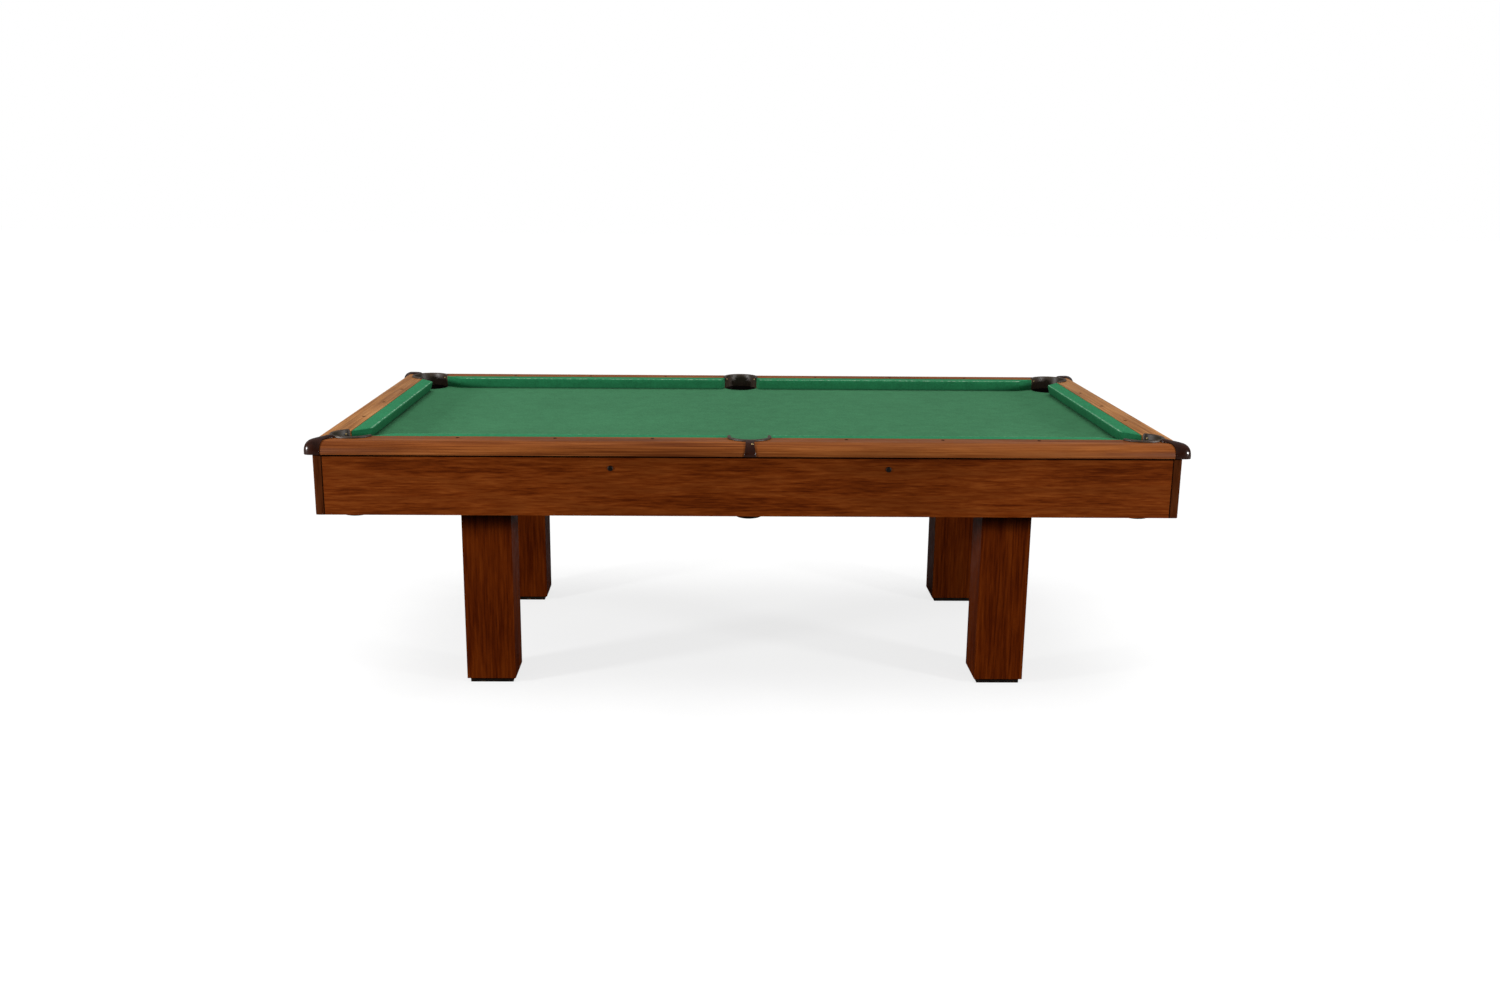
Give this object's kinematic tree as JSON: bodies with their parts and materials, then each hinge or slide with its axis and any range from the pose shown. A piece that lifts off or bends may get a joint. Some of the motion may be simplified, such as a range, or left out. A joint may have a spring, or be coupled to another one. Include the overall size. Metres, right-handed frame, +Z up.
{
  "type": "pool table",
  "caption": "Rectangular slate-bed pool table with corner and side drop pockets, cushioned rails, a laminate cabinet, box legs and levelling feet.",
  "frame": {"origin": "on the floor under the centre of the table, feet screwed fully in", "axes": "+X along the table towards its right end, +Y towards the far side, +Z up"},
  "size_m": [2.5284, 1.4108, 0.7948],
  "materials": {
    "cabinet_laminate": "satin walnut-grain laminate",
    "rail_laminate": "satin walnut-grain laminate, lighter than the cabinet",
    "dark_trim": "glossy dark brown moulding",
    "pocket_plastic": "semi-matt black moulding",
    "cloth": "green woven billiard cloth",
    "slate": "honed slate",
    "frame_timber": "raw sawn softwood",
    "bolt_steel": "blackened steel",
    "stem_steel": "zinc-plated steel",
    "foot_block": "black-painted block with worn edges"
  },
  "bodies": {
    "table": {"apron_bolt_far_left": "bolt_steel", "apron_bolt_far_right": "bolt_steel", "apron_bolt_near_left": "bolt_steel", "apron_bolt_near_right": "bolt_steel", "apron_far": "cabinet_laminate", "apron_left_end": "cabinet_laminate", "apron_near": "cabinet_laminate", "apron_right_end": "cabinet_laminate", "bed_cloth": "cloth", "casting_far_left": "dark_trim", "casting_far_right": "dark_trim", "casting_far_side": "dark_trim", "casting_near_left": "dark_trim", "casting_near_right": "dark_trim", "casting_near_side": "dark_trim", "corner_post_far_left": "dark_trim", "corner_post_far_right": "dark_trim", "corner_post_near_left": "dark_trim", "corner_post_near_right": "dark_trim", "cross_beam_end_left": "frame_timber", "cross_beam_end_right": "frame_timber", "cross_beam_joint_left": "frame_timber", "cross_beam_joint_right": "frame_timber", "cross_beam_leg_left": "frame_timber", "cross_beam_leg_right": "frame_timber", "cushion_far_left": "cloth", "cushion_far_right": "cloth", "cushion_left_end": "cloth", "cushion_near_left": "cloth", "cushion_near_right": "cloth", "cushion_right_end": "cloth", "leg_far_left": "cabinet_laminate", "leg_far_right": "cabinet_laminate", "leg_near_left": "cabinet_laminate", "leg_near_right": "cabinet_laminate", "long_beam_far": "frame_timber", "long_beam_near": "frame_timber", "pocket_far_left": "pocket_plastic", "pocket_far_right": "pocket_plastic", "pocket_far_side": "pocket_plastic", "pocket_near_left": "pocket_plastic", "pocket_near_right": "pocket_plastic", "pocket_near_side": "pocket_plastic", "rail_far_left": "rail_laminate", "rail_far_right": "rail_laminate", "rail_left_end": "rail_laminate", "rail_near_left": "rail_laminate", "rail_near_right": "rail_laminate", "rail_right_end": "rail_laminate", "slate_centre": "slate", "slate_left": "slate", "slate_right": "slate"},
    "pad_near_left": {"foot_pad_near_left": "foot_block"},
    "stem_near_left": {"foot_stem_near_left": "stem_steel"},
    "pad_near_right": {"foot_pad_near_right": "foot_block"},
    "stem_near_right": {"foot_stem_near_right": "stem_steel"},
    "pad_far_left": {"foot_pad_far_left": "foot_block"},
    "stem_far_left": {"foot_stem_far_left": "stem_steel"},
    "pad_far_right": {"foot_pad_far_right": "foot_block"},
    "stem_far_right": {"foot_stem_far_right": "stem_steel"}
  },
  "joints": [
    {"name": "level_near_left", "type": "slide", "parent": "table", "child": "pad_near_left", "axis": [0, 0, -1], "range_m": [0, 0.015]},
    {"name": "stem_turn_near_left", "type": "hinge", "parent": "pad_near_left", "child": "stem_near_left", "pos_m": [-0.7844, -0.4306, 0], "axis": [0, 0, -1], "range_deg": [0, 3600]},
    {"name": "level_near_right", "type": "slide", "parent": "table", "child": "pad_near_right", "axis": [0, 0, -1], "range_m": [0, 0.015]},
    {"name": "stem_turn_near_right", "type": "hinge", "parent": "pad_near_right", "child": "stem_near_right", "pos_m": [0.7844, -0.4306, 0], "axis": [0, 0, -1], "range_deg": [0, 3600]},
    {"name": "level_far_left", "type": "slide", "parent": "table", "child": "pad_far_left", "axis": [0, 0, -1], "range_m": [0, 0.015]},
    {"name": "stem_turn_far_left", "type": "hinge", "parent": "pad_far_left", "child": "stem_far_left", "pos_m": [-0.7844, 0.4306, 0], "axis": [0, 0, -1], "range_deg": [0, 3600]},
    {"name": "level_far_right", "type": "slide", "parent": "table", "child": "pad_far_right", "axis": [0, 0, -1], "range_m": [0, 0.015]},
    {"name": "stem_turn_far_right", "type": "hinge", "parent": "pad_far_right", "child": "stem_far_right", "pos_m": [0.7844, 0.4306, 0], "axis": [0, 0, -1], "range_deg": [0, 3600]}
  ],
  "couplings": [
    {"joint": "stem_turn_near_left", "follows": "level_near_left", "rad_per_m": 4188.8},
    {"joint": "stem_turn_near_right", "follows": "level_near_right", "rad_per_m": 4188.8},
    {"joint": "stem_turn_far_left", "follows": "level_far_left", "rad_per_m": 4188.8},
    {"joint": "stem_turn_far_right", "follows": "level_far_right", "rad_per_m": 4188.8}
  ]
}
